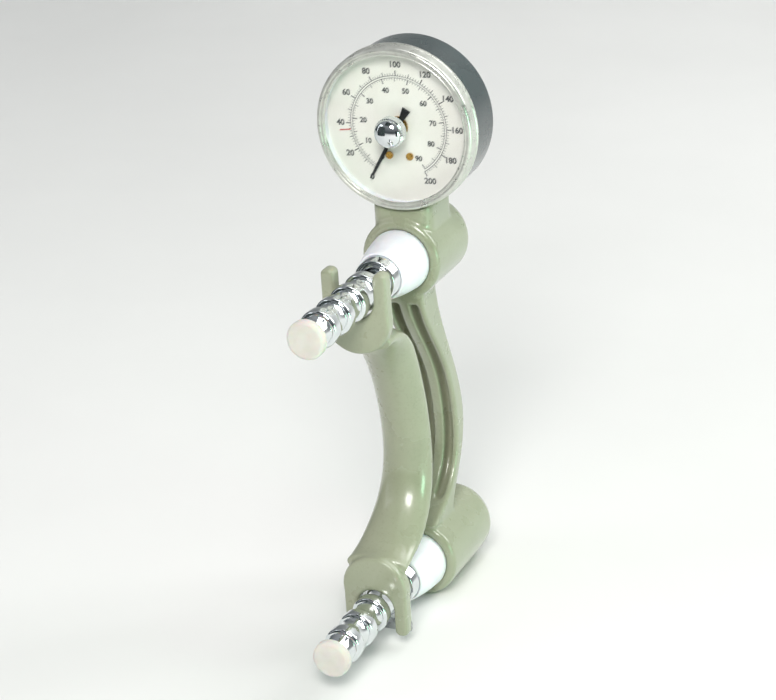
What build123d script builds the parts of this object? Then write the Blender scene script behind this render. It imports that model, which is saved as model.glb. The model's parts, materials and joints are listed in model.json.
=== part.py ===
"""Hydraulic hand dynamometer: cast frame, two hydraulic pistons, dial gauge and adjustable handle.

Frame: +Z up, +X right when facing the dial, -Y towards the dial and the free ends of the posts.
Origin: on the palm face of the fixed bar, midway between the two posts. Millimetres.
"""
from build123d import *
import math
import os

os.makedirs("parts", exist_ok=True)

# Grip
post_pitch = 12.7
first_span = 34.9
shown_position = 2
grip_span = first_span + post_pitch * (shown_position - 1)
post_z = 66.5

# Frame casting
boss_front = -37.7
boss_r = 16.5
boss_round = 7.0
upper_boss_back = -1.0
lower_boss_back = 8.0
bar_half_width = 8.5
rib_half_width = 2.2
groove_width = 3.8
groove_depth = 5.5
groove_lead = 3.0

# Hydraulics
bore_r = 11.0
bore_back = -14.5
spigot_r = 12.2
spigot_back = -30.0
port_y = -18.5
port_r = 1.6
tube_r = 1.5
fit_gap = 0.05
seat_gap = 0.02
piston_front = -28.5
piston_back = -22.5
piston_r = 10.95
seal_y = (-26.7, -24.3)
seal_groove_r = 9.3

# Posts
fork_y = -78.3
notch_width = 6.8
bead_r = 7.6
waist_r = 6.0
rod_r = 8.7
rod_shoulder = -62.2
cap_front = -123.6
cap_socket = cap_front + 2.0
collar_front = -56.6
collar_front_r = 9.9
collar_back_r = 12.7
wiper_y = (-50.5, -48.5)
wiper_r = 10.3

# Handle
fork_thickness = 6.0
fork_half_width = 13.5
slot_r = 7.95
prong_reach = 11.0
plate_drop = 8.7
plate_r = 13.8
clip_thickness = 1.2
clip_gap = 0.3
clip_width = 4.6
clip_screw_x = 10.7

# Gauge
dial_z = 119.5
gauge_front = -37.3
gauge_back = -11.2
bezel_r = 33.0
window_r = 29.3
case_r = 32.1
case_wall = 1.1
case_front = -33.4
lens_front = -36.1
lens_thickness = 1.5
dial_front = -31.7
dial_thickness = 0.8
stem_r = 5.0
stem_bottom = 80.5
block_half_width = 7.0
block_z = (89.6, 101.0)
block_front = -22.2
tube_coil_r = 23.5
knob_r = 6.0
knob_y = (-44.6, -36.5)
sweep_start = -150.0

tube_y = (-20.4, -14.4)
tube_thickness = 2.4
tube_start = -73
tube_end = 200
tube_socket = 8
case_screw_places = ((-4.0, -24.0), (4.0, -24.0))
bezel_back = -30.0
gasket_bore_r = 30.2
knob_shaft_r = 1.2

# Small fasteners and edges
screw_r = 1.2
bleed_r = 2.5
bleed_length = 7.0
bleed_socket_r = 1.5
tube_bore_r = 0.9
neck_half_width = 12.5
neck_y = (-35.5, -11.0)
neck_corner = 5.0
seat_r = case_r + 1.0
piston_spigot_r = 4.0
cap_spigot_r = 3.0
cap_r = 7.6
cap_edge = 1.6
bead_round = 1.4
grip_back = 3.0
prong_tip_round = 2.2
fork_edge = 0.7

# Movement
module = 0.3
pinion_teeth = 12
sector_teeth = 100
gear_y = (-26.4, -25.4)
front_plate_y = (-28.2, -27.4)
back_plate_y = (-23.2, -22.2)
link_y = (-24.9, -24.3)
pivot_r = 0.5
pillar_places = ((-4.6, 3.6), (5.0, -19.5), (4.6, 3.6))
dial_screw_places = ((-4.3, -11.8), (4.3, -11.8))
tail_length = 9.0
cap_sweep = 10
link_gap = 0.3
plate_z = (-22.0, 6.0)
plate_half_width = 7.5
pillar_r = 1.5
pillar_screw_r = 0.6
addendum = 0.25
dedendum = 0.35
tooth_root = 0.46
tooth_tip = 0.2
sector_first = 50.4
sector_span = 43.2
sector_tooth_count = 13
hub_y = (-32.9, -31.8)
hub_r = 4.2
pointer_y = (-32.6, -32.3)
peak_y = (-33.9, -33.6)
pointer_eye_r = 1.6
peak_eye_r = 0.95
spring_y = (-27.1, -26.7)
spring_inner_r = 1.4
spring_growth = 0.45
spring_half_turns = 5

pinion_r = module * pinion_teeth / 2
sector_r = module * sector_teeth / 2
sector_z = dial_z - pinion_r - sector_r
lens_back = lens_front + lens_thickness
dial_back = dial_front + dial_thickness


def y_axis(height):
    """The line along Y at this height, midway between left and right."""
    return Axis((0, 0, height), (0, 1, 0))


def face_plane(y, height=0):
    """A front-view plane with its origin at (0, y, height): local x is +X, local y is +Z, facing -Y."""
    return Plane(origin=(0, y, height), x_dir=(1, 0, 0), z_dir=(0, -1, 0))


def turn(profile, height, mode=Mode.ADD):
    """Turn a closed outline of (y, radius) corners about the line along Y at this height."""
    with BuildSketch(Plane.YZ) as outline:
        with BuildLine():
            Polyline([(y, height + radius) for y, radius in profile], close=True)
        make_face()
    revolve(outline.sketch, axis=y_axis(height), mode=mode)


def rod(ends, radius, height, x=0, mode=Mode.ADD):
    """A round bar along Y between two y values."""
    low, high = min(ends), max(ends)
    with Locations((x, (low + high) / 2, height)):
        Cylinder(radius, high - low, rotation=(90, 0, 0), mode=mode)


def ring(ends, outer, inner, height):
    """A flat ring or sleeve about a line along Y."""
    low, high = ends
    turn([(low, inner), (low, outer), (high, outer), (high, inner)], height)


def save(part, name):
    """Label a finished piece and write it."""
    part.label = name
    export_step(part, f"parts/{name}.step")


# ---------------------------------------------------------------- frame casting
# Outlines in the side view as (y, z).
front_profile = [(boss_front, 51), (-35.5, 44), (-26, 28), (-14.5, 8), (-10, -10), (-10.5, -26),
                 (-17, -38.5), (-29, -46.5), (boss_front, -50.5)]
palm_profile = [(-22, 56), (-19.8, 44), (-12, 24), (-3, 2.5), (0, -16), (-5, -33), (-12, -44), (-16, -54)]
groove_line = [(-36.4, 47.5), (-33.6, 41), (-26, 28), (-14.5, 8), (-10, -10), (-10.5, -26),
               (-17, -38.5), (-25.5, -44.5)]
channel_route = [(-20, 57.5), (-24.5, 45), (-18, 27), (-8.6, 8), (-5.2, -10), (-6.4, -26), (-13, -38.5),
                 (-20, -47.5), (-20, -57.5)]
channel_bend = 9.0


def boss(height, back):
    """A cylinder housing with a small front chamfer and a rounded back end."""
    edge = 1.2
    with BuildSketch(Plane.YZ) as outline:
        with BuildLine():
            Polyline((back, height), (boss_front, height), (boss_front, height + boss_r - edge),
                     (boss_front + edge, height + boss_r), (back - boss_round, height + boss_r))
            JernArc((back - boss_round, height + boss_r), (1, 0), boss_round, -90)
            Line((back, height + boss_r - boss_round), (back, height))
        make_face()
    revolve(outline.sketch, axis=y_axis(height))


def cylinder_bore(height):
    """The piston bore and the wider seat of the collar, cut from a boss."""
    rod((boss_front, bore_back), bore_r, height, mode=Mode.SUBTRACT)
    rod((boss_front, spigot_back), spigot_r + seat_gap, height, mode=Mode.SUBTRACT)


def palm_bar():
    """The bowed bar between the bosses, crowned on its palm side."""
    with BuildSketch(Plane.YZ) as outline:
        with BuildLine():
            Spline(*front_profile)
            Line(front_profile[-1], palm_profile[-1])
            Spline(*reversed(palm_profile))
            Line(palm_profile[0], front_profile[0])
        make_face()
    with BuildPart() as bar:
        extrude(outline.sketch, amount=bar_half_width, both=True)
        long_edges = bar.edges().filter_by(lambda edge: edge.length > 90)
        fillet(long_edges.group_by(Axis.Y)[-1], radius=3.2)
        front_edges = bar.edges().filter_by(lambda edge: edge.length > 90).group_by(Axis.Y)[0]
        fillet(front_edges, radius=0.8)
    return bar.part


def bar_grooves():
    """The two long recesses in the front of the bar, either side of the middle rib."""
    front_side = [(y - groove_lead, z) for y, z in groove_line]
    deep_side = [(y + groove_depth, z) for y, z in reversed(groove_line)]
    with BuildSketch(Plane.YZ) as outline:
        with BuildLine():
            Spline(*front_side)
            Line(front_side[-1], deep_side[0])
            Spline(*deep_side)
            Line(deep_side[-1], front_side[0])
        make_face()
    with BuildPart() as cutter:
        extrude(outline.sketch, amount=rib_half_width + groove_width, both=True)
        Box(2 * rib_half_width, 200, 200, mode=Mode.SUBTRACT)
    return cutter.part


def neck_block():
    """The pad between the upper boss and the gauge, with rounded corners."""
    with BuildPart() as block:
        with Locations((0, sum(neck_y) / 2, 81)):
            Box(2 * neck_half_width, neck_y[1] - neck_y[0], 30)
        fillet(block.edges().filter_by(Axis.Z), neck_corner)
    return block.part


def channel_sweep(radius, mode=Mode.ADD):
    """A round section along the fluid channel between the two cylinders."""
    with BuildLine() as route:
        FilletPolyline(*[(0, y, z) for y, z in channel_route], radius=channel_bend)
    start_plane = Plane(route.line @ 0, x_dir=(1, 0, 0), z_dir=route.line % 0)
    with BuildSketch(start_plane) as section:
        Circle(radius)
    sweep(section.sketch, path=route.line, mode=mode)


bar_solid = palm_bar()
groove_cutter = bar_grooves()
neck_solid = neck_block()

with BuildPart() as frame_casting:
    boss(post_z, upper_boss_back)
    boss(-post_z, lower_boss_back)
    add(bar_solid)
    add(neck_solid)
    rod((-60, 20), seat_r, dial_z, mode=Mode.SUBTRACT)
    add(groove_cutter, mode=Mode.SUBTRACT)
    cylinder_bore(post_z)
    cylinder_bore(-post_z)
    with Locations((0, port_y, stem_bottom)):
        Cylinder(stem_r + fit_gap, 40, align=(Align.CENTER, Align.CENTER, Align.MIN), mode=Mode.SUBTRACT)
        Cylinder(port_r, 10, mode=Mode.SUBTRACT)
    for boss_z, boss_back in ((post_z, upper_boss_back), (-post_z, lower_boss_back)):
        rod((bore_back - 1, boss_back + 1), bleed_r + seat_gap, boss_z, mode=Mode.SUBTRACT)
    channel_sweep(tube_r, mode=Mode.SUBTRACT)
save(frame_casting.part, "frame_casting")

with BuildPart() as transfer_tube:
    channel_sweep(tube_r)
    channel_sweep(tube_bore_r, mode=Mode.SUBTRACT)
    for height in (post_z, -post_z):
        rod((bore_back, boss_front), bore_r, height, mode=Mode.SUBTRACT)
save(transfer_tube.part, "transfer_tube")

with BuildPart() as bleed_screws:
    for boss_z, boss_back in ((post_z, upper_boss_back), (-post_z, lower_boss_back)):
        rod((boss_back - 0.6 - bleed_length, boss_back - 0.6), bleed_r, boss_z)
        with BuildSketch(face_plane(boss_back)) as socket:
            with Locations((0, boss_z)):
                RegularPolygon(bleed_socket_r, 6)
        extrude(socket.sketch, amount=3.5, mode=Mode.SUBTRACT)
save(bleed_screws.part, "bleed_screws")

with BuildPart() as gauge_pad:
    rod((bezel_back + 0.3, neck_y[1] - 3), seat_r - seat_gap, dial_z)
    rod(neck_y, case_r + seat_gap, dial_z, mode=Mode.SUBTRACT)
    with Locations((0, sum(neck_y) / 2, dial_z - seat_r)):
        Box(2 * neck_half_width - 3, 60, 8, mode=Mode.INTERSECT)
    with Locations((0, port_y, dial_z - seat_r)):
        Cylinder(stem_r + fit_gap, 20, mode=Mode.SUBTRACT)
save(gauge_pad.part, "gauge_pad")


# ---------------------------------------------------------------- posts, pistons and collars
def collar(height):
    """White guide collar: a cone outside the boss and a spigot inside it."""
    nose = 0.6
    turn([(collar_front, rod_r + fit_gap), (collar_front, collar_front_r - nose),
          (collar_front + nose, collar_front_r),
          (-47, 11.7), (boss_front - 1.2, collar_back_r), (boss_front, collar_back_r),
          (boss_front, spigot_r), (spigot_back, spigot_r), (spigot_back, rod_r + fit_gap)], height)
    rod(wiper_y, wiper_r, height, mode=Mode.SUBTRACT)


def post(height):
    """Chrome post: rod, notched stretch, and a spigot for the piston and one for the end cap."""
    rod((piston_back + 0.4, piston_front), piston_spigot_r, height)
    turn([(piston_front, 0), (piston_front, rod_r), (rod_shoulder - 0.6, rod_r), (rod_shoulder - 1.8, bead_r),
          (rod_shoulder - 1.8, 0)], height)
    rod((rod_shoulder - 1.8, cap_back), bead_r, height)
    rod((cap_back, cap_socket), cap_spigot_r, height)
    for step in range(5):
        notch = fork_y + post_pitch * (1 - step)
        ends = (notch - notch_width / 2, notch + notch_width / 2)
        turn([(ends[0], waist_r), (ends[0], bead_r + 2), (ends[1], bead_r + 2), (ends[1], waist_r)],
             height, mode=Mode.SUBTRACT)


def round_beads(builder):
    """Round the rims of the beads between the notches."""
    rims = builder.edges().filter_by(GeomType.CIRCLE).filter_by(lambda edge: abs(edge.radius - bead_r) < 0.01)
    fillet(rims.filter_by(lambda edge: cap_back - 0.1 < edge.center().Y < rod_shoulder), bead_round)


fork_steps = [fork_y + post_pitch * (1 - step) for step in range(5)]
cap_back = fork_steps[-1] - notch_width / 2

for side, height in (("upper", post_z), ("lower", -post_z)):
    with BuildPart() as guide:
        collar(height)
    save(guide.part, f"{side}_collar")

    with BuildPart() as wiper:
        ring(wiper_y, wiper_r - seat_gap, rod_r + 0.03, height)
    save(wiper.part, f"{side}_wiper")

    with BuildPart() as chrome_post:
        post(height)
        round_beads(chrome_post)
    save(chrome_post.part, f"{side}_post")

    with BuildPart() as cap:
        turn([(cap_front, 0), (cap_front, cap_r - cap_edge), (cap_front + cap_edge, cap_r),
              (cap_back, cap_r), (cap_back, cap_spigot_r + seat_gap),
              (cap_socket, cap_spigot_r + seat_gap), (cap_socket, 0)], height)
    save(cap.part, f"{side}_post_cap")

    with BuildPart() as piston:
        ring((piston_front, piston_back), piston_r, piston_spigot_r + seat_gap, height)
        turn([(seal_y[0], seal_groove_r), (seal_y[0], bore_r),
              (seal_y[1], bore_r), (seal_y[1], seal_groove_r)], height, mode=Mode.SUBTRACT)
    save(piston.part, f"{side}_piston")

    with BuildPart() as seal:
        ring((seal_y[0] + 0.05, seal_y[1] - 0.05), bore_r - seat_gap, seal_groove_r + seat_gap, height)
    save(seal.part, f"{side}_piston_seal")


# ---------------------------------------------------------------- adjustable handle
# Middle line of the grip as (y, z, half width, bulge), from the upper fork plate to the lower one.
grip_stations = [(-77.5, 48.5, 12.6, 4.6), (-66, 47.2, 12.4, 6.0), (-56.5, 40.2, 11.8, 8.0),
                 (-49.5, 28, 11.0, 8.6), (-43.5, 10, 10.6, 8.6), (-40.8, -8, 10.5, 8.6),
                 (-42.0, -23, 10.8, 8.6), (-49.0, -36, 11.6, 8.2), (-61, -44.6, 12.4, 6.8),
                 (-77.5, -49.2, 13.2, 5.2)]


def grip_body():
    """The half-round grip, lofted along its bowed middle line."""
    with BuildLine():
        middle = Spline(*[(0, y, z) for y, z, _, _ in grip_stations])
    with BuildPart() as grip:
        for y, z, half_width, bulge in grip_stations:
            along = middle % middle.param_at_point((0, y, z))
            with BuildSketch(Plane(origin=(0, y, z), x_dir=(1, 0, 0), z_dir=along)):
                with BuildLine():
                    EllipticalCenterArc((0, 0), half_width, bulge, 0, arc_size=180)
                    EllipticalCenterArc((0, 0), half_width, grip_back, 180, arc_size=180)
                make_face()
        loft()
    return grip.part


def fork_plate(height, outward):
    """A fork plate: a round root and two prongs; outward is +1 with prongs up and -1 with prongs down."""
    prong_length = prong_reach + plate_drop
    prong_middle = height + outward * (prong_reach - plate_drop) / 2
    with BuildPart() as fork:
        with BuildSketch(face_plane(fork_y + fork_thickness / 2)) as outline:
            with Locations((0, height - outward * plate_drop)):
                Circle(plate_r)
            with Locations((0, prong_middle)):
                Rectangle(2 * fork_half_width, prong_length)
            with Locations((0, height)):
                Circle(slot_r, mode=Mode.SUBTRACT)
            with Locations((0, height + outward * prong_reach)):
                Rectangle(2 * slot_r, 2 * prong_reach, mode=Mode.SUBTRACT)
        extrude(outline.sketch, amount=fork_thickness)
        tips = fork.edges().filter_by(Axis.Y).group_by(Axis.Z)[-1 if outward > 0 else 0]
        fillet(tips, prong_tip_round)
        rims = fork.edges().filter_by(lambda edge: abs(edge.center().Y - fork_y) > fork_thickness / 2 - 0.01)
        chamfer(rims, fork_edge)
    return fork.part


grip_solid = grip_body()
upper_fork = fork_plate(post_z, 1)
lower_fork = fork_plate(-post_z, -1)
clip_y = (fork_y + fork_thickness / 2 - clip_thickness, fork_y + fork_thickness / 2)
clip_top = -post_z - waist_r - clip_gap
clip_screw_z = clip_top - clip_width / 2

with BuildPart() as grip_handle:
    add(grip_solid)
    add(upper_fork)
    add(lower_fork)
    for height in (post_z, -post_z):
        rod((fork_y - 20, fork_y + 30), slot_r, height, mode=Mode.SUBTRACT)
    with Locations((0, sum(clip_y) / 2, clip_screw_z)):
        Box(60, clip_thickness, clip_width + 0.2, mode=Mode.SUBTRACT)
    for side in (-1, 1):
        rod((clip_y[0] - 4, clip_y[1]), screw_r + seat_gap, clip_screw_z, side * clip_screw_x,
            mode=Mode.SUBTRACT)
save(grip_handle.part, "grip_handle")

with BuildPart() as handle_clip:
    with Locations((0, sum(clip_y) / 2, clip_screw_z)):
        Box(2 * fork_half_width - 0.6, clip_thickness - 0.1, clip_width)
    fillet(handle_clip.edges().filter_by(Axis.Y), 1.0)
    for side in (-1, 1):
        rod((clip_y[0] - 1, clip_y[1] + 1), screw_r + seat_gap, clip_screw_z, side * clip_screw_x,
            mode=Mode.SUBTRACT)
save(handle_clip.part, "handle_clip")

with BuildPart() as clip_screws:
    for side in (-1, 1):
        rod((clip_y[0] - 3.5, clip_y[1]), screw_r, clip_screw_z, side * clip_screw_x)
        rod((clip_y[1], clip_y[1] + 1.0), screw_r + 0.9, clip_screw_z, side * clip_screw_x)
save(clip_screws.part, "clip_screws")


# ---------------------------------------------------------------- gauge housing
def coil(start, sweep, ends, spare=0, mode=Mode.ADD):
    """A stretch of the flat C-shaped coil of the gauge; spare widens it all round."""
    with BuildSketch(face_plane(ends[1] + spare, dial_z)) as outline:
        with BuildLine():
            CenterArc((0, 0), tube_coil_r, start, sweep)
        trace(line_width=tube_thickness + 2 * spare)
    extrude(outline.sketch, amount=ends[1] - ends[0] + 2 * spare, mode=mode)


with BuildPart() as gauge_case:
    rod((case_front, gauge_back), case_r, dial_z)
    fillet(gauge_case.edges().group_by(Axis.Y)[-1], 2.5)
    rod((case_front, gauge_back - case_wall), case_r - case_wall, dial_z, mode=Mode.SUBTRACT)
    with Locations((0, port_y, dial_z - case_r)):
        Cylinder(stem_r + fit_gap, 10, mode=Mode.SUBTRACT)
    for x, z in case_screw_places:
        rod((gauge_back - 2, gauge_back + 1), screw_r + 0.1, dial_z + z, x, mode=Mode.SUBTRACT)
save(gauge_case.part, "gauge_case")

with BuildPart() as case_screws:
    for x, z in case_screw_places:
        rod((gauge_back - 5, gauge_back + seat_gap), screw_r, dial_z + z, x)
        rod((gauge_back + seat_gap, gauge_back + 1.3), screw_r + 1.1, dial_z + z, x)
        with Locations((x, gauge_back + 1.3, dial_z + z)):
            Box(4.0, 1.0, 0.6, mode=Mode.SUBTRACT)
save(case_screws.part, "case_screws")

with BuildPart() as bezel_ring:
    turn([(gauge_front, window_r + 0.8), (gauge_front, bezel_r - 1.0), (gauge_front + 1.0, bezel_r),
          (bezel_back, bezel_r), (bezel_back, case_r + 0.04), (lens_front, case_r + 0.04),
          (lens_front, window_r), (gauge_front + 0.6, window_r)], dial_z)
save(bezel_ring.part, "bezel_ring")

with BuildPart() as lens:
    ring((lens_front + seat_gap, lens_back), case_r - 0.1, knob_shaft_r + 0.05, dial_z)
save(lens.part, "lens")

with BuildPart() as lens_gasket:
    ring((lens_back + seat_gap, case_front - seat_gap), case_r - 0.1, gasket_bore_r, dial_z)
    ring((case_front - 0.1, dial_front - seat_gap), case_r - case_wall - 0.1, gasket_bore_r, dial_z)
save(lens_gasket.part, "lens_gasket")

with BuildPart() as dial_plate:
    rod((dial_front, dial_back), case_r - case_wall - 0.2, dial_z)
    rod((dial_front, dial_back), 2.4, dial_z, mode=Mode.SUBTRACT)
    for x, z in dial_screw_places:
        rod((dial_front, dial_back), screw_r, dial_z + z, x, mode=Mode.SUBTRACT)
save(dial_plate.part, "dial_plate")

with BuildPart() as dial_screws:
    for x, z in dial_screw_places:
        rod((dial_front - 0.6, dial_front - seat_gap), 1.5, dial_z + z, x)
        rod((dial_front - seat_gap, front_plate_y[1]), screw_r - 0.05, dial_z + z, x)
save(dial_screws.part, "dial_screws")

with BuildPart() as dial_spacers:
    for x, z in dial_screw_places:
        rod((dial_back + seat_gap, front_plate_y[0] - seat_gap), 2.0, dial_z + z, x)
        rod((dial_back, front_plate_y[0]), screw_r, dial_z + z, x, mode=Mode.SUBTRACT)
save(dial_spacers.part, "dial_spacers")

with BuildPart() as gauge_stem:
    with Locations((0, port_y, stem_bottom)):
        Cylinder(stem_r, block_z[0] - stem_bottom, align=(Align.CENTER, Align.CENTER, Align.MIN))
    with Locations((0, (block_front + gauge_back - case_wall - seat_gap) / 2, sum(block_z) / 2)):
        Box(2 * block_half_width, gauge_back - case_wall - seat_gap - block_front, block_z[1] - block_z[0])
    with Locations((0, port_y, stem_bottom)):
        Cylinder(port_r, 2 * (block_z[0] + 4 - stem_bottom), mode=Mode.SUBTRACT)
    for x, z in case_screw_places:
        rod((gauge_back - 5.5, gauge_back), screw_r + seat_gap, dial_z + z, x, mode=Mode.SUBTRACT)
    coil(tube_start, tube_socket, tube_y, spare=0.02, mode=Mode.SUBTRACT)
save(gauge_stem.part, "gauge_stem")


# ---------------------------------------------------------------- gauge movement
def polar(radius, degrees):
    """A point at this radius and angle (counter-clockwise from +X in the front view)."""
    return (radius * math.cos(math.radians(degrees)), radius * math.sin(math.radians(degrees)))


with BuildPart() as bourdon_tube:
    coil(tube_start, tube_end - tube_start, tube_y)
save(bourdon_tube.part, "bourdon_tube")

with BuildPart() as tube_end_cap:
    coil(tube_end, cap_sweep, (link_y[1] + link_gap, tube_y[1]))
save(tube_end_cap.part, "tube_end_cap")


def movement_plate(ends, name):
    """One brass movement plate with holes for the two arbors."""
    with BuildPart() as brass:
        with BuildSketch(face_plane(max(ends), dial_z)) as outline:
            with Locations((0, sum(plate_z) / 2)):
                Rectangle(2 * plate_half_width, plate_z[1] - plate_z[0])
        extrude(outline.sketch, amount=max(ends) - min(ends))
        fillet(brass.edges().filter_by(Axis.Y), 1.5)
        for height in (dial_z, sector_z):
            rod(ends, pivot_r + 0.05, height, mode=Mode.SUBTRACT)
        for x, z in dial_screw_places:
            rod(ends, screw_r, dial_z + z, x, mode=Mode.SUBTRACT)
        for x, z in pillar_places:
            rod(ends, pillar_screw_r + seat_gap, dial_z + z, x, mode=Mode.SUBTRACT)
    save(brass.part, name)


movement_plate(front_plate_y, "movement_front_plate")
movement_plate(back_plate_y, "movement_back_plate")

with BuildPart() as movement_pillars:
    for x, z in pillar_places:
        rod((front_plate_y[1] + 0.01, back_plate_y[0] - 0.01), pillar_r, dial_z + z, x)
        rod((front_plate_y[1], back_plate_y[0]), pillar_screw_r + seat_gap, dial_z + z, x, mode=Mode.SUBTRACT)
save(movement_pillars.part, "movement_pillars")

with BuildPart() as movement_screws:
    for x, z in pillar_places:
        rod((front_plate_y[0] - 0.7, front_plate_y[0] - 0.01), 1.1, dial_z + z, x)
        rod((front_plate_y[0] - 0.01, back_plate_y[1] - 0.1), pillar_screw_r, dial_z + z, x)
save(movement_screws.part, "movement_screws")


def gear_teeth(pitch_r, centre_z, first, step, count):
    """Sketch of trapezoid teeth spaced round an arbor in the front view."""
    root = pitch_r - dedendum
    tip = pitch_r + addendum
    with BuildSketch() as tooth:
        with BuildLine():
            Polyline([(root - 0.3, -tooth_root / 2), (root, -tooth_root / 2), (tip, -tooth_tip / 2),
                      (tip, tooth_tip / 2), (root, tooth_root / 2), (root - 0.3, tooth_root / 2)], close=True)
        make_face()
    with BuildSketch(face_plane(gear_y[1], centre_z)) as teeth:
        with PolarLocations(0, count, first, step * count):
            add(tooth.sketch)
    return teeth.sketch


with BuildPart() as pointer_arbor:
    rod((hub_y[1], gear_y[0]), 0.9, dial_z)
    rod(gear_y, pinion_r - dedendum, dial_z)
    extrude(gear_teeth(pinion_r, dial_z, -90 + 15, 30, pinion_teeth), amount=gear_y[1] - gear_y[0])
    rod((gear_y[1], back_plate_y[0] - 0.1), 0.9, dial_z)
    rod((back_plate_y[0] - 0.1, back_plate_y[1]), pivot_r, dial_z)
    rod((front_plate_y[0] - 0.15, front_plate_y[1] + 0.15), 2, dial_z, mode=Mode.SUBTRACT)
    rod((front_plate_y[0] - 0.15, front_plate_y[1] + 0.15), pivot_r, dial_z)
save(pointer_arbor.part, "pointer_arbor")

with BuildPart() as pointer_hub:
    ring((pointer_y[1] + seat_gap, hub_y[1]), hub_r, 0.92, dial_z)
    ring((hub_y[0], pointer_y[1] + seat_gap), pointer_eye_r - 0.05, 0.92, dial_z)
save(pointer_hub.part, "pointer_hub")


def needle(blade, ends, eye_r, name):
    """A flat pointer whose outline is drawn along +Z and turned to the zero mark."""
    with BuildPart() as pointer:
        with BuildSketch(face_plane(ends[1])) as outline:
            with BuildLine():
                Polyline(blade, close=True)
            make_face()
            Circle(eye_r + 0.9)
            Circle(eye_r, mode=Mode.SUBTRACT)
        turned = outline.sketch.rotate(y_axis(0), sweep_start)
        extrude(turned.moved(Location((0, 0, dial_z))), amount=ends[1] - ends[0])
    save(pointer.part, name)


pointer_blade = [(-0.35, 23.5), (0.35, 23.5), (0.9, 2.0), (0.9, -3.0),
                 (1.8, -8.4), (-1.8, -8.4), (-0.9, -3.0), (-0.9, 2.0)]
peak_blade = [(-0.25, 24.5), (0.25, 24.5), (0.7, 0), (0.7, -4), (-0.7, -4), (-0.7, 0)]
needle(pointer_blade, pointer_y, pointer_eye_r, "pointer")
needle(peak_blade, peak_y, peak_eye_r, "peak_pointer")

with BuildPart() as hairspring:
    with BuildSketch(face_plane(spring_y[1], dial_z)) as spiral:
        with BuildLine():
            for half_turn in range(spring_half_turns):
                radius = spring_inner_r + spring_growth * (half_turn + 0.5)
                centre = spring_growth / 2 if half_turn % 2 else -spring_growth / 2
                CenterArc((centre, 0), radius, 180 * (half_turn % 2), 180)
        trace(line_width=0.16)
    extrude(spiral.sketch, amount=spring_y[1] - spring_y[0])
    ring(spring_y, spring_inner_r + 0.1, 0.95, dial_z)
save(hairspring.part, "hairspring")

with BuildPart() as sector_gear:
    with BuildSketch(face_plane(gear_y[1], sector_z)) as outline:
        with BuildLine():
            rim = CenterArc((0, 0), sector_r - dedendum, sector_first - 2.5, sector_span + 5)
            Line(rim @ 1, (0, 0))
            Line((0, 0), rim @ 0)
        make_face()
        Circle(2.2)
        with Locations((-tail_length / 2, 0)):
            Rectangle(tail_length, 2.2)
        with Locations((-tail_length, 0)):
            Circle(1.5)
    extrude(outline.sketch, amount=gear_y[1] - gear_y[0])
    teeth = gear_teeth(sector_r, sector_z, sector_first, 360 / sector_teeth, sector_tooth_count)
    extrude(teeth, amount=gear_y[1] - gear_y[0])
    rod((gear_y[1], link_y[1] + 0.3), 0.6, sector_z, -tail_length)
    rod(gear_y, 1.0, sector_z, mode=Mode.SUBTRACT)
save(sector_gear.part, "sector_gear")

with BuildPart() as sector_arbor:
    rod((front_plate_y[1] + 0.15, back_plate_y[0] - 0.15), 0.98, sector_z)
    rod((front_plate_y[0], back_plate_y[1]), pivot_r, sector_z)
save(sector_arbor.part, "sector_arbor")

link_pin = (-tail_length, sector_z - dial_z)
link_tip = polar(tube_coil_r, tube_end + cap_sweep / 2)
with BuildPart() as movement_link:
    with BuildSketch(face_plane(link_y[1], dial_z)) as outline:
        with BuildLine():
            Line(link_pin, link_tip)
        trace(line_width=1.6)
        with Locations(link_pin, link_tip):
            Circle(1.5)
    extrude(outline.sketch, amount=link_y[1] - link_y[0])
    rod(link_y, 0.65, sector_z, link_pin[0], mode=Mode.SUBTRACT)
save(movement_link.part, "movement_link")


# ---------------------------------------------------------------- reset knob
with BuildPart() as knob_shaft:
    rod((knob_y[1] - 2, peak_y[1]), knob_shaft_r, dial_z)
    rod((peak_y[0] - seat_gap, peak_y[1] + 0.1), 2, dial_z, mode=Mode.SUBTRACT)
    rod((peak_y[0] - seat_gap, peak_y[1] + 0.1), 0.93, dial_z)
save(knob_shaft.part, "knob_shaft")

with BuildPart() as knob_washer:
    ring((knob_y[1] + seat_gap, lens_front - seat_gap), 3.0, knob_shaft_r + 0.05, dial_z)
save(knob_washer.part, "knob_washer")

with BuildPart() as reset_knob:
    turn([(knob_y[0], 0), (knob_y[0], knob_r - 2.6), (knob_y[0] + 1.0, knob_r - 1.1),
          (knob_y[0] + 2.6, knob_r), (knob_y[1], knob_r), (knob_y[1], 0)], dial_z)
    rod((knob_y[1] - 2.02, knob_y[1]), knob_shaft_r + 0.01, dial_z, mode=Mode.SUBTRACT)
save(reset_knob.part, "reset_knob")
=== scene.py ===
"""Looks of the hand dynamometer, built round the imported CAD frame. Metres, +Z up, -Y out of the dial."""
import json
import math

import bmesh
import bpy
from mathutils import Matrix, Vector


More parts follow.
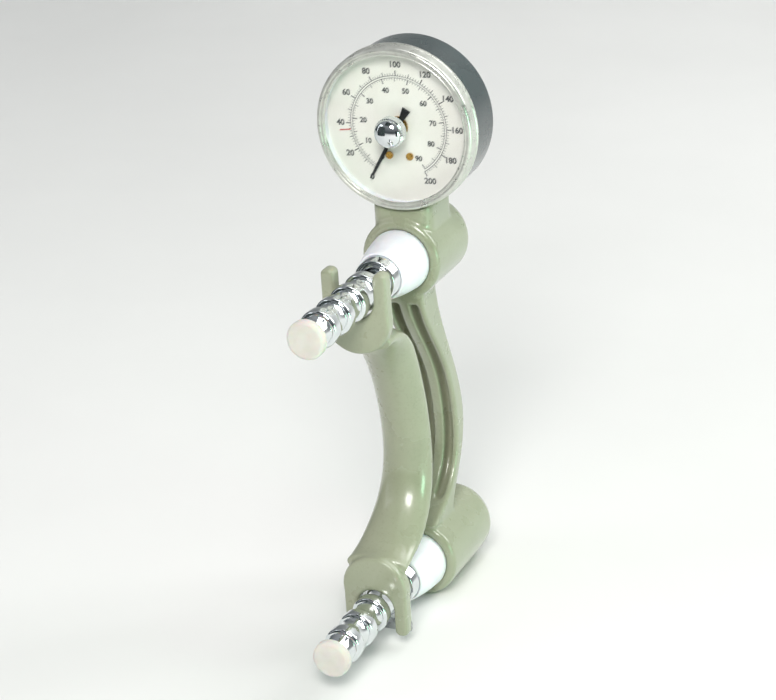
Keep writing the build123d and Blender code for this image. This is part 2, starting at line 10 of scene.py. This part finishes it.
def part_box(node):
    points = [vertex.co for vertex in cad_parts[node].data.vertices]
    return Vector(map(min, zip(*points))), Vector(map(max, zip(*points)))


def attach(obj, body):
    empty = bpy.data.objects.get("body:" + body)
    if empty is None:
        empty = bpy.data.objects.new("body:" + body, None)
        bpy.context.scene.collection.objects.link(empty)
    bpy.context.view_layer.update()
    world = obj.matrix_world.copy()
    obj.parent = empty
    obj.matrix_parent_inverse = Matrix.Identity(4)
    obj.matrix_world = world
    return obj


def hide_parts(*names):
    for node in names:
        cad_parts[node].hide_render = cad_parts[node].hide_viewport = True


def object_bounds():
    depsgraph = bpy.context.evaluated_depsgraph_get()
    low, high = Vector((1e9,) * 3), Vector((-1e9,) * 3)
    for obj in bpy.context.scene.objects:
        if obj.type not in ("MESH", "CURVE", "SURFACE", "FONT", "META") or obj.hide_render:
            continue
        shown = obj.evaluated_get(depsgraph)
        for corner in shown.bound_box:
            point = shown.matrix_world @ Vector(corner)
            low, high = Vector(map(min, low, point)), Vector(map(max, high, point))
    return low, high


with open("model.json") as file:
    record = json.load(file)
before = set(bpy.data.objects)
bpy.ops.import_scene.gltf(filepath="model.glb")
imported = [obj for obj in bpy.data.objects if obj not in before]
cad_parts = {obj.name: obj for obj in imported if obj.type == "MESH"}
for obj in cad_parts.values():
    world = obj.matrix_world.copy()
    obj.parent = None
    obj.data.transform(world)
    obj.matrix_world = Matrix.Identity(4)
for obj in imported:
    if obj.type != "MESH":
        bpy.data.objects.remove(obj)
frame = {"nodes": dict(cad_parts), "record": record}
cad_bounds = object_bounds()
nodes = frame["nodes"]

MM = 0.001
DIAL_LOW, DIAL_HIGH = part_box("dial_plate")
DIAL_Z = (DIAL_LOW[2] + DIAL_HIGH[2]) / 2
DIAL_Y = DIAL_LOW[1]
SMOOTH_ANGLE = math.radians(38)
SWEEP_START = -150.0
SWEEP = 300.0


# ------------------------------------------------------------------ node materials
def srgb(red, green, blue):
    """A linear colour from 0 to 255 display values."""
    def linear(value):
        value /= 255
        return value / 12.92 if value <= 0.04045 else ((value + 0.055) / 1.055) ** 2.4
    return (linear(red), linear(green), linear(blue), 1.0)


class Paint:
    """One procedural material under construction."""

    def __init__(self, name, **sockets):
        self.material = bpy.data.materials.new(name)
        self.material.use_nodes = True
        self.tree = self.material.node_tree
        self.shader = self.tree.nodes["Principled BSDF"]
        self.heights = []
        for socket, value in sockets.items():
            self.shader.inputs[socket.replace("_", " ")].default_value = value

    def node(self, kind, **settings):
        made = self.tree.nodes.new(kind)
        for key, value in settings.items():
            setattr(made, key, value)
        return made

    def link(self, output, target):
        self.tree.links.new(output, target)

    def place(self, centre=(0, 0, 0), stretch=(1, 1, 1)):
        """Object coordinates from this centre, stretched."""
        coordinates = self.node("ShaderNodeTexCoord")
        mapping = self.node("ShaderNodeMapping", vector_type="POINT")
        mapping.inputs["Location"].default_value = [-c * s for c, s in zip(centre, stretch)]
        mapping.inputs["Scale"].default_value = stretch
        self.link(coordinates.outputs["Object"], mapping.inputs["Vector"])
        return mapping.outputs["Vector"]

    def noise(self, scale, detail=4.0, roughness=0.55, distortion=0.0, centre=(0, 0, 0), stretch=(1, 1, 1)):
        made = self.node("ShaderNodeTexNoise")
        self.link(self.place(centre, stretch), made.inputs["Vector"])
        made.inputs["Scale"].default_value = scale
        made.inputs["Detail"].default_value = detail
        made.inputs["Roughness"].default_value = roughness
        made.inputs["Distortion"].default_value = distortion
        return made.outputs["Fac"]

    def rings(self, scale, centre, distortion=0.0):
        """Concentric rings about the line along Y through the centre."""
        made = self.node("ShaderNodeTexWave", wave_type="RINGS", rings_direction="Y")
        self.link(self.place(centre), made.inputs["Vector"])
        made.inputs["Scale"].default_value = scale
        made.inputs["Distortion"].default_value = distortion
        made.inputs["Detail"].default_value = 3.0
        return made.outputs["Fac"]

    def spread(self, value, low, high, out_low, out_high):
        """Map low..high onto out_low..out_high."""
        made = self.node("ShaderNodeMapRange")
        self.link(value, made.inputs["Value"])
        limits = {"From Min": low, "From Max": high, "To Min": out_low, "To Max": out_high}
        for name, number in limits.items():
            made.inputs[name].default_value = number
        return made.outputs["Result"]

    def ramp(self, value, stops):
        made = self.node("ShaderNodeValToRGB")
        self.link(value, made.inputs["Fac"])
        while len(made.color_ramp.elements) < len(stops):
            made.color_ramp.elements.new(0.5)
        for element, (position, colour) in zip(made.color_ramp.elements, stops):
            element.position = position
            element.color = colour
        return made.outputs["Color"]

    def mix(self, value, first, second):
        """Blend from the first colour to the second; each is a colour or an output."""
        made = self.node("ShaderNodeMix", data_type="RGBA", blend_type="MIX")
        self.link(value, made.inputs[0])
        for socket, colour in ((made.inputs[6], first), (made.inputs[7], second)):
            if hasattr(colour, "is_output"):
                self.link(colour, socket)
            else:
                socket.default_value = colour
        return made.outputs[2]

    def colour(self, output):
        self.link(output, self.shader.inputs["Base Color"])

    def gloss(self, value, low, high, spread=(0.3, 0.7)):
        self.link(self.spread(value, spread[0], spread[1], low, high), self.shader.inputs["Roughness"])

    def bump(self, value, strength, distance):
        """Chain a bump onto the shader's normal; call it for the coarsest relief first."""
        made = self.node("ShaderNodeBump")
        made.inputs["Strength"].default_value = strength
        made.inputs["Distance"].default_value = distance
        self.link(value, made.inputs["Height"])
        if self.heights:
            self.link(self.heights[-1], made.inputs["Normal"])
        self.heights.append(made.outputs["Normal"])
        self.link(made.outputs["Normal"], self.shader.inputs["Normal"])


def sage_paint():
    paint = Paint("sage_paint", Metallic=0.0, Specular_IOR_Level=0.5, Coat_Weight=0.75, Coat_Roughness=0.13)
    cloud = paint.noise(22.0, detail=3.0)
    speck = paint.noise(700.0, detail=3.0, roughness=0.7)
    rubs = paint.noise(75.0, detail=8.0, roughness=0.75, distortion=0.6)
    tone = paint.ramp(cloud, [(0.30, srgb(142, 147, 122)), (0.70, srgb(158, 161, 138))])
    tone = paint.mix(paint.spread(speck, 0.52, 0.75, 0.0, 0.35), tone, srgb(126, 133, 110))
    tone = paint.mix(paint.spread(rubs, 0.64, 0.78, 0.0, 0.5), tone, srgb(174, 175, 158))
    paint.colour(tone)
    paint.gloss(paint.noise(45.0, detail=6.0), 0.22, 0.36)
    paint.bump(paint.noise(55.0, detail=2.0), 0.10, 0.0006)
    paint.bump(paint.noise(620.0, detail=2.0), 0.14, 0.00012)
    return paint.material


def chrome():
    paint = Paint("post_chrome", Metallic=1.0)
    smudge = paint.noise(160.0, detail=6.0, roughness=0.65, distortion=0.8)
    paint.colour(paint.ramp(smudge, [(0.30, srgb(214, 219, 222)), (0.75, srgb(232, 235, 236))]))
    paint.gloss(smudge, 0.035, 0.12)
    paint.bump(paint.noise(900.0, detail=2.0, stretch=(1, 6, 1)), 0.05, 0.00004)
    return paint.material


def plastic(name, low, high, roughness, **sockets):
    paint = Paint(name, **sockets)
    mottle = paint.noise(140.0, detail=5.0)
    paint.colour(paint.ramp(mottle, [(0.30, low), (0.70, high)]))
    paint.gloss(paint.noise(380.0, detail=4.0), roughness - 0.06, roughness + 0.08)
    paint.bump(paint.noise(900.0, detail=3.0), 0.08, 0.00008)
    return paint.material


def case_enamel():
    paint = Paint("case_enamel", Coat_Weight=0.6, Coat_Roughness=0.08)
    cloud = paint.noise(40.0, detail=4.0)
    dust = paint.noise(900.0, detail=5.0, roughness=0.8)
    tone = paint.ramp(cloud, [(0.25, srgb(10, 34, 38)), (0.75, srgb(18, 46, 50))])
    paint.colour(paint.mix(paint.spread(dust, 0.66, 0.8, 0.0, 0.3), tone, srgb(74, 98, 100)))
    paint.gloss(paint.noise(90.0, detail=6.0), 0.18, 0.34)
    paint.bump(paint.noise(480.0, detail=2.0), 0.10, 0.0001)
    return paint.material


def turned_metal(name, low, high, roughness, centre, **sockets):
    """Metal finished on a lathe about the line along Y through the centre."""
    paint = Paint(name, **sockets)
    grain = paint.noise(260.0, detail=6.0, distortion=0.4)
    paint.colour(paint.ramp(grain, [(0.28, low), (0.72, high)]))
    paint.gloss(grain, roughness - 0.07, roughness + 0.1)
    paint.bump(paint.rings(900.0, centre, distortion=0.8), 0.10, 0.00004)
    paint.bump(paint.noise(1200.0, detail=3.0), 0.06, 0.00004)
    return paint.material


def dial_face():
    paint = Paint("dial_white", Coat_Weight=0.15, Coat_Roughness=0.3)
    age = paint.noise(60.0, detail=6.0, roughness=0.6)
    tone = paint.ramp(age, [(0.25, srgb(226, 224, 215)), (0.75, srgb(238, 237, 230))])
    specks = paint.noise(2200.0, detail=2.0)
    paint.colour(paint.mix(paint.spread(specks, 0.70, 0.80, 0.0, 0.25), tone, srgb(190, 186, 172)))
    paint.gloss(paint.noise(300.0, detail=4.0), 0.42, 0.6)
    paint.bump(paint.noise(1500.0, detail=2.0), 0.05, 0.00004)
    return paint.material


def ink(name, low, high):
    paint = Paint(name)
    patchy = paint.noise(1800.0, detail=4.0)
    paint.colour(paint.ramp(patchy, [(0.30, low), (0.70, high)]))
    paint.gloss(patchy, 0.4, 0.62)
    paint.bump(patchy, 0.05, 0.00002)
    return paint.material


def rubber():
    paint = Paint("seal_rubber")
    grain = paint.noise(900.0, detail=5.0)
    paint.colour(paint.ramp(grain, [(0.30, srgb(20, 20, 20)), (0.70, srgb(34, 34, 33))]))
    paint.gloss(grain, 0.55, 0.8)
    paint.bump(grain, 0.15, 0.0001)
    return paint.material


def clear_lens():
    paint = Paint("clear_lens", Transmission_Weight=1.0, IOR=1.18, Alpha=0.16)
    smear = paint.noise(70.0, detail=6.0, distortion=1.0)
    paint.colour(paint.ramp(smear, [(0.3, srgb(240, 246, 246)), (0.7, srgb(252, 253, 253))]))
    paint.gloss(smear, 0.015, 0.06)
    paint.bump(paint.noise(30.0, detail=1.0), 0.02, 0.0001)
    return paint.material


dial_centre = (0.0, DIAL_Y, DIAL_Z)
looks = {
    "sage_paint": sage_paint(),
    "post_chrome": chrome(),
    "white_plastic": plastic("white_plastic", srgb(228, 228, 236), srgb(240, 240, 245), 0.38,
                             Subsurface_Weight=0.12, Subsurface_Scale=0.002, Coat_Weight=0.15),
    "cap_plastic": plastic("cap_plastic", srgb(224, 220, 212), srgb(238, 235, 229), 0.34,
                           Subsurface_Weight=0.5, Subsurface_Scale=0.004, Transmission_Weight=0.25, IOR=1.4),
    "case_enamel": case_enamel(),
    "bezel_metal": turned_metal("bezel_metal", srgb(196, 197, 190), srgb(220, 220, 214), 0.30, dial_centre,
                                Metallic=0.75),
    "clear_lens": clear_lens(),
    "dial_white": dial_face(),
    "pointer_black": ink("pointer_black", srgb(20, 21, 24), srgb(34, 35, 38)),
    "movement_brass": turned_metal("movement_brass", srgb(176, 136, 66), srgb(206, 168, 92), 0.28,
                                   dial_centre, Metallic=1.0),
    "screw_steel": turned_metal("screw_steel", srgb(142, 144, 146), srgb(176, 178, 180), 0.32,
                                dial_centre, Metallic=1.0),
    "tube_steel": turned_metal("tube_steel", srgb(150, 152, 155), srgb(184, 186, 188), 0.28,
                               dial_centre, Metallic=1.0),
    "seal_rubber": rubber(),
}
print_ink = ink("print_ink", srgb(58, 60, 62), srgb(84, 86, 86))
print_red = ink("print_red", srgb(176, 52, 44), srgb(196, 74, 62))

for part in frame["record"]["subparts"]:
    carried = nodes[part["node"]]
    for material_slot in carried.material_slots:
        material_slot.link = "OBJECT"
        material_slot.material = looks[part["material_slot"]]


# ------------------------------------------------------------------ mesh helpers
def finish_piece(name, mesh_data, body, material, replaced=(), bevel=0.0):
    """Turn a bmesh into a piece of its body, with its material and rounded edges."""
    mesh = bpy.data.meshes.new(name)
    bmesh.ops.recalc_face_normals(mesh_data, faces=mesh_data.faces)
    for face in mesh_data.faces:
        face.smooth = True
    for edge in mesh_data.edges:
        edge.smooth = len(edge.link_faces) == 2 and edge.calc_face_angle(0.0) < SMOOTH_ANGLE
    mesh_data.to_mesh(mesh)
    mesh_data.free()
    mesh.materials.append(material)
    piece = bpy.data.objects.new(name, mesh)
    bpy.context.scene.collection.objects.link(piece)
    if bevel:
        rounding = piece.modifiers.new("rounding", "BEVEL")
        rounding.width = bevel
        rounding.segments = 3
        rounding.limit_method = "ANGLE"
        rounding.angle_limit = SMOOTH_ANGLE
        rounding.harden_normals = True
    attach(piece, body)
    if replaced:
        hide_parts(*replaced)
    return piece


def lathe(profile, centre_z, segments=128, closed=False, flutes=None):
    """A turned body about the line along Y at centre_z from (y, radius) points in millimetres.

    flutes is (first y, last y, count, depth) of the grooves along part of its side.
    """
    made = bmesh.new()
    rows = []
    for y, radius in profile:
        if radius < 1e-6:
            rows.append([made.verts.new((0.0, y * MM, centre_z))])
            continue
        row = []
        for step in range(segments):
            angle = 2 * math.pi * step / segments
            reach = radius
            if flutes:
                first_y, last_y, count, depth = flutes
                if first_y <= y <= last_y:
                    reach -= depth * (0.5 + 0.5 * math.cos(count * angle))
            across = reach * MM * math.cos(angle)
            upward = reach * MM * math.sin(angle)
            row.append(made.verts.new((across, y * MM, centre_z + upward)))
        rows.append(row)
    pairs = list(zip(rows, rows[1:]))
    if closed:
        pairs.append((rows[-1], rows[0]))
    for first, second in pairs:
        for step in range(segments):
            after = (step + 1) % segments
            corners = []
            for row, index in ((first, step), (first, after), (second, after), (second, step)):
                corner = row[index if len(row) > 1 else 0]
                if corner not in corners:
                    corners.append(corner)
            if len(corners) > 2:
                made.faces.new(corners)
    return made


def arc(centre, radius_y, radius_r, start, end, steps):
    """Points of an elliptical arc in the (y, radius) half plane, in degrees from +y towards +radius."""
    points = []
    for step in range(steps + 1):
        angle = math.radians(start + (end - start) * step / steps)
        points.append((centre[0] + radius_y * math.cos(angle), centre[1] + radius_r * math.sin(angle)))
    return points


def millimetres(node):
    """A node's box in millimetres."""
    low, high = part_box(node)
    return [value / MM for value in low], [value / MM for value in high]


# ------------------------------------------------------------------ posts, caps and collars
# Millimetres, but POST_Z in metres.
NOTCH_PITCH = 12.7
NOTCH_WIDTH = 6.8
FORK_Y = -78.3
POST_Z = 0.0665
BEAD_R = 7.6
WAIST_R = 6.0
ROD_SHOULDER = -62.2
BEAD_ROUND = 1.3
COLLAR_SEAT = -37.7
COLLAR_BORE = 8.76
COLLAR_SPIGOT = 12.2


def post_profile(side):
    """Rod, shoulder, then rounded beads between the notches, from the piston to the end cap."""
    low, high = millimetres(side + "_post")
    cap_back = millimetres(side + "_post_cap")[1][1]
    rod_r = (high[0] - low[0]) / 2
    points = [(high[1], 0.0), (high[1], rod_r - 0.4), (high[1] - 0.4, rod_r)]
    points += [(ROD_SHOULDER + 0.8, rod_r), (ROD_SHOULDER, rod_r - 0.35)]
    points.append((ROD_SHOULDER - 0.3, BEAD_R))
    notches = [FORK_Y + NOTCH_PITCH * (1 - step) for step in range(5)]
    rise = BEAD_R - WAIST_R - 0.1
    for notch in notches:
        back, front = notch + NOTCH_WIDTH / 2, notch - NOTCH_WIDTH / 2
        points += arc((back + BEAD_ROUND, WAIST_R + 0.1), BEAD_ROUND, rise, 90, 180, 6)
        points += [(back - 0.15, WAIST_R), (front + 0.15, WAIST_R)]
        if notch != notches[-1]:
            points += arc((front - BEAD_ROUND, WAIST_R + 0.1), BEAD_ROUND, rise, 0, 90, 6)
    points += [(cap_back + 0.02, WAIST_R - 0.02), (cap_back + 0.02, 0.0)]
    return points


def cap_profile(side):
    """A plain disc with a rounded front edge."""
    low, high = millimetres(side + "_post_cap")
    cap_r = (high[0] - low[0]) / 2
    front, back = low[1], high[1]
    points = [(back, 0.0), (back, cap_r - 0.4), (back - 0.4, cap_r)]
    points += arc((front + 1.5, cap_r - 1.5), -1.5, 1.5, 90, 0, 8)
    points.append((front, 0.0))
    return points


def collar_profile(side):
    """Nose, gently swelling cone and a small step where it meets the boss."""
    low, high = millimetres(side + "_collar")
    back_r = (high[0] - low[0]) / 2
    front = low[1]
    seat = COLLAR_SEAT
    bore = COLLAR_BORE
    points = [(high[1], bore), (front + 0.3, bore), (front, bore + 0.3), (front, 9.3)]
    points += arc((front + 0.8, 9.1), -0.8, 0.8, 0, 90, 6)
    points += [(-53.0, 10.55), (-49.0, 11.35), (-44.5, 12.05), (-41.0, 12.45), (-39.4, back_r - 0.1)]
    points += [(seat - 0.9, back_r), (seat - 0.02, back_r - 0.15), (seat - 0.02, COLLAR_SPIGOT)]
    points.append((high[1], COLLAR_SPIGOT))
    return points


for side, height in (("upper", POST_Z), ("lower", -POST_Z)):
    chrome_post = lathe(post_profile(side), height, segments=96)
    finish_piece(side + "_chrome_post", chrome_post, side + "_post", looks["post_chrome"],
                 [side + "_post"], bevel=0.00012)
    cap = lathe(cap_profile(side), height, segments=96)
    finish_piece(side + "_end_cap", cap, side + "_post", looks["cap_plastic"],
                 [side + "_post_cap"])
    collar = lathe(collar_profile(side), height, segments=128, closed=True)
    finish_piece(side + "_guide_collar", collar, "frame", looks["white_plastic"],
                 [side + "_collar"], bevel=0.00015)


# ------------------------------------------------------------------ cast pieces
def soften(node, voxel, rounds):
    """Round a casting's edges and blend its inner corners, as paint and sand casting do."""
    casting = nodes[node]
    remesh = casting.modifiers.new("cast skin", "REMESH")
    remesh.mode = "VOXEL"
    remesh.voxel_size = voxel
    remesh.use_smooth_shade = True
    smooth = casting.modifiers.new("cast edges", "SMOOTH")
    smooth.factor = 0.5
    smooth.iterations = rounds


soften("frame_casting", 0.0007, 8)
soften("grip_handle", 0.0006, 4)


# ------------------------------------------------------------------ gauge
def bezel_profile():
    """Rolled rim at the back, then a crowned shoulder and two steps down to the glass."""
    low, high = millimetres("bezel_ring")
    outer = (high[0] - low[0]) / 2
    front, back = low[1], high[1]
    seat = outer - 0.86
    window = outer - 3.7
    points = [(back, seat), (back, outer - 0.25), (back - 0.35, outer), (back - 1.3, outer)]
    points += [(back - 1.6, outer - 0.3), (front + 2.2, outer - 0.3)]
    points += arc((front + 1.7, outer - 1.6), -1.7, 1.3, 90, 0, 10)[1:]
    points += [(front + 0.05, outer - 2.0), (front + 0.4, outer - 2.15), (front + 0.4, outer - 2.75)]
    points += [(front + 0.25, outer - 2.9), (front + 0.3, outer - 3.15), (front + 0.75, outer - 3.35)]
    points += [(front + 0.85, window), (front + 1.2, window), (front + 1.2, seat)]
    return points


def knob_profile():
    """A straight gripped side under a dome."""
    low, high = millimetres("reset_knob")
    outer = (high[0] - low[0]) / 2
    front, back = low[1], high[1]
    points = [(back, 0.0), (back, outer - 0.9), (back - 0.5, outer - 0.35), (back - 1.0, outer)]
    points += [(back - 1.0 - 0.5 * step, outer) for step in range(1, 8)]
    points += arc((front + 3.2, 0.0), -3.2, outer - 0.35, 90, 0, 14)
    points[-1] = (front, 0.0)
    return points


finish_piece("stepped_bezel", lathe(bezel_profile(), DIAL_Z, 192, closed=True), "frame",
             looks["bezel_metal"], ["bezel_ring"], bevel=0.0001)
finish_piece("domed_reset_knob", lathe(knob_profile(), DIAL_Z, 160, flutes=(-41.4, -37.8, 40, 0.22)), "peak",
             looks["post_chrome"], ["reset_knob"])


# ------------------------------------------------------------------ printed dial
PRINT_THICKNESS = 0.03
INNER_SWEEP = 90.7


def on_dial(radius, degrees, y=None):
    """A point on the dial from its centre, clockwise from the top as seen from the front."""
    angle = math.radians(degrees)
    depth = DIAL_Y if y is None else y
    return Vector((radius * MM * math.sin(angle), depth, DIAL_Z + radius * MM * math.cos(angle)))


def add_bar(made, inner, outer, degrees, width):
    """A thin raised printed line along a radius."""
    along = (on_dial(1.0, degrees) - on_dial(0.0, degrees)).normalized()
    across = Vector((along.z, 0.0, -along.x)) * width * MM / 2
    lift = Vector((0.0, -PRINT_THICKNESS * MM, 0.0))
    corners = [on_dial(inner, degrees) - across, on_dial(outer, degrees) - across,
               on_dial(outer, degrees) + across, on_dial(inner, degrees) + across]
    base = [made.verts.new(corner) for corner in corners]
    top = [made.verts.new(corner + lift) for corner in corners]
    made.faces.new(base)
    made.faces.new(list(reversed(top)))
    for step in range(4):
        after = (step + 1) % 4
        made.faces.new([base[after], base[step], top[step], top[after]])


def add_arc(made, radius, width, start, end, steps):
    """A thin printed line round part of the dial."""
    rings = []
    inner, outer = radius - width / 2, radius + width / 2
    top = DIAL_Y - PRINT_THICKNESS * MM
    for step in range(steps + 1):
        degrees = start + (end - start) * step / steps
        corners = (on_dial(inner, degrees), on_dial(outer, degrees),
                   on_dial(outer, degrees, top), on_dial(inner, degrees, top))
        rings.append([made.verts.new(corner) for corner in corners])
    for first, second in zip(rings, rings[1:]):
        for step in range(4):
            after = (step + 1) % 4
            made.faces.new([first[step], first[after], second[after], second[step]])
    made.faces.new(rings[0])
    made.faces.new(list(reversed(rings[-1])))


OUTER_RING = 20.2
INNER_RING = 19.4


def scale_marks():
    """Graduations to 200 outside the outer ring and to 90 inside the inner one."""
    made = bmesh.new()
    for mark in range(0, 101):
        degrees = SWEEP_START + SWEEP * mark / 100
        if mark % 10 == 0:
            add_bar(made, OUTER_RING, 22.3, degrees, 0.42)
        elif mark % 5 == 0:
            add_bar(made, OUTER_RING, 21.8, degrees, 0.28)
        else:
            add_bar(made, OUTER_RING, 21.2, degrees, 0.17)
    for mark in range(0, 91):
        degrees = SWEEP_START + SWEEP * mark / INNER_SWEEP
        if mark % 10 == 0:
            add_bar(made, 17.4, INNER_RING, degrees, 0.40)
        elif mark % 5 == 0:
            add_bar(made, 17.9, INNER_RING, degrees, 0.26)
        else:
            add_bar(made, 18.5, INNER_RING, degrees, 0.15)
    add_arc(made, OUTER_RING, 0.22, SWEEP_START, SWEEP_START + SWEEP, 160)
    add_arc(made, INNER_RING, 0.20, SWEEP_START, SWEEP_START + SWEEP * 90 / INNER_SWEEP, 150)
    return made


def numeral(text, size, place):
    """A number as a thin solid mesh, upright on the dial."""
    curve = bpy.data.curves.new("numeral", "FONT")
    curve.body = text
    curve.size = size * MM
    curve.align_x = "CENTER"
    curve.align_y = "CENTER"
    curve.extrude = PRINT_THICKNESS * MM / 2
    curve.offset = 0.00011
    curve.resolution_u = 3
    holder = bpy.data.objects.new("numeral", curve)
    mesh = bpy.data.meshes.new_from_object(holder)
    mesh.transform(Matrix.Translation(place) @ Matrix.Rotation(math.radians(90), 4, "X"))
    bpy.data.objects.remove(holder)
    return mesh


def scale_numerals():
    """Numbers outside the outer ring and inside the inner one."""
    made = bmesh.new()
    middle = DIAL_Y - PRINT_THICKNESS * MM / 2
    for value in range(0, 201, 20):
        degrees = SWEEP_START + SWEEP * value / 200
        made.from_mesh(numeral(str(value), 3.3, on_dial(24.6, degrees, middle)))
    for value in range(0, 91, 10):
        degrees = SWEEP_START + SWEEP * value / INNER_SWEEP
        made.from_mesh(numeral(str(value), 2.9, on_dial(14.8, degrees, middle)))
    return made


finish_piece("dial_graduations", scale_marks(), "frame", print_ink)
finish_piece("dial_numerals", scale_numerals(), "frame", print_ink)
red_mark = bmesh.new()
add_bar(red_mark, 20.6, 25.4, -97.0, 0.5)
finish_piece("dial_red_mark", red_mark, "frame", print_red)


# ------------------------------------------------------------------ stage, light and camera
FLOOR_Z = cad_bounds[0][2] - 0.0002


def floor_material():
    """Pale seamless paper."""
    paint = Paint("floor", Roughness=0.75)
    stops = [(0.3, srgb(226, 226, 224)), (0.7, srgb(232, 232, 230))]
    paint.colour(paint.ramp(paint.noise(3.0, detail=4.0), stops))
    paint.bump(paint.noise(600.0), 0.03, 0.0002)
    return paint.material


def add_floor():
    """A pale sweep: flat under the object and curving up far behind it."""
    made = bmesh.new()
    bend = 0.9
    profile = [(-3.0, 0.0), (bend, 0.0)]
    for step in range(1, 13):
        angle = math.radians(step * 7.5)
        profile.append((bend + bend * math.sin(angle), bend - bend * math.cos(angle)))
    profile.append((2 * bend, 3.0))
    turn = Matrix.Rotation(math.radians(-22), 4, "Z")
    rows = [[made.verts.new(turn @ Vector((x, y, FLOOR_Z + z))) for x in (-4.0, 4.0)] for y, z in profile]
    for first, second in zip(rows, rows[1:]):
        made.faces.new([first[0], first[1], second[1], second[0]]).smooth = True
    mesh = bpy.data.meshes.new("floor")
    made.to_mesh(mesh)
    made.free()
    mesh.materials.append(floor_material())
    floor = bpy.data.objects.new("floor", mesh)
    bpy.context.scene.collection.objects.link(floor)


def add_light(name, place, aim, size, power, colour=(1.0, 1.0, 1.0)):
    """A rectangular soft light turned to its aim."""
    data = bpy.data.lights.new(name, "AREA")
    data.shape = "RECTANGLE"
    data.size, data.size_y = size
    data.energy = power
    data.color = colour
    light = bpy.data.objects.new(name, data)
    light.location = place
    light.rotation_euler = (Vector(aim) - Vector(place)).to_track_quat("-Z", "Y").to_euler()
    bpy.context.scene.collection.objects.link(light)


def add_flag(name, place, aim, width, height):
    """A dark card seen only in reflections, as a studio puts beside polished metal."""
    made = bmesh.new()
    signs = ((-1, -1), (1, -1), (1, 1), (-1, 1))
    corners = [made.verts.new((x * width / 2, y * height / 2, 0.0)) for x, y in signs]
    made.faces.new(corners)
    mesh = bpy.data.meshes.new(name)
    made.to_mesh(mesh)
    made.free()
    mesh.materials.append(flag_material)
    flag = bpy.data.objects.new(name, mesh)
    flag.location = place
    flag.rotation_euler = (Vector(aim) - Vector(place)).to_track_quat("-Z", "Y").to_euler()
    flag.visible_camera = False
    flag.visible_diffuse = False
    flag.visible_shadow = False
    bpy.context.scene.collection.objects.link(flag)


flag_material = ink("flag", srgb(14, 26, 28), srgb(22, 38, 40))


def add_world():
    """Soft surroundings, darker below and paler above."""
    world = bpy.data.worlds.new("studio")
    world.use_nodes = True
    tree = world.node_tree
    background = tree.nodes["Background"]
    coordinates = tree.nodes.new("ShaderNodeTexCoord")
    split = tree.nodes.new("ShaderNodeSeparateXYZ")
    ramp = tree.nodes.new("ShaderNodeValToRGB")
    tree.links.new(coordinates.outputs["Generated"], split.inputs["Vector"])
    tree.links.new(split.outputs["Z"], ramp.inputs["Fac"])
    tree.links.new(ramp.outputs["Color"], background.inputs["Color"])
    ramp.color_ramp.elements[0].position = 0.0
    ramp.color_ramp.elements[0].color = (0.16, 0.19, 0.20, 1.0)
    ramp.color_ramp.elements[1].position = 0.8
    ramp.color_ramp.elements[1].color = (0.75, 0.78, 0.80, 1.0)
    background.inputs["Strength"].default_value = 0.44
    bpy.context.scene.world = world


# The viewpoint and the way that is up in the picture.
CAMERA_PLACE = Vector((0.3492, -0.7860, 0.3756))
CAMERA_UP = Vector((-0.132, 0.427, 0.895))
LENS = 104.0


def add_camera():
    """Look from the viewpoint at the middle of the object."""
    low, high = (Vector(corner) for corner in cad_bounds)
    aim = (low + high) / 2 + Vector((0.0, 0.004, 0.0))
    back = (CAMERA_PLACE - aim).normalized()
    right = CAMERA_UP.cross(back).normalized()
    up = back.cross(right)
    data = bpy.data.cameras.new("camera")
    data.lens = LENS
    data.sensor_width = 36.0
    data.clip_start = 0.05
    camera = bpy.data.objects.new("camera", data)
    turn = Matrix((right, up, back)).transposed().to_4x4()
    camera.matrix_world = Matrix.Translation(CAMERA_PLACE) @ turn
    bpy.context.scene.collection.objects.link(camera)
    bpy.context.scene.camera = camera


add_floor()
add_world()
add_light("key", (0.40, -1.05, 1.00), (0.0, -0.05, 0.03), (0.55, 0.55), 17.0, (1.0, 0.985, 0.96))
add_light("fill", (-1.1, -0.7, 0.5), (0.0, -0.05, 0.03), (0.6, 0.9), 3.0, (0.95, 0.98, 1.0))
add_light("rim", (0.9, 0.65, 0.75), (0.0, -0.03, 0.03), (0.4, 0.8), 6.5)
add_light("green_card", (0.75, -0.25, 0.0), (0.0, -0.03, 0.0), (0.22, 0.35), 2.6, (0.50, 1.0, 0.66))
add_light("backdrop", (0.3, 0.9, 1.7), (-0.5, 1.5, 0.5), (1.6, 1.0), 15.0)
add_flag("left_flag", (-0.45, -0.50, 0.02), (0.0, -0.08, 0.02), 0.52, 0.80)
add_flag("top_flag", (-0.05, -0.30, 0.55), (0.0, -0.08, 0.05), 0.32, 0.40)
add_flag("right_flag", (0.42, -0.42, -0.02), (0.0, -0.08, 0.02), 0.16, 0.55)
add_camera()
bpy.context.scene.view_settings.view_transform = "Standard"
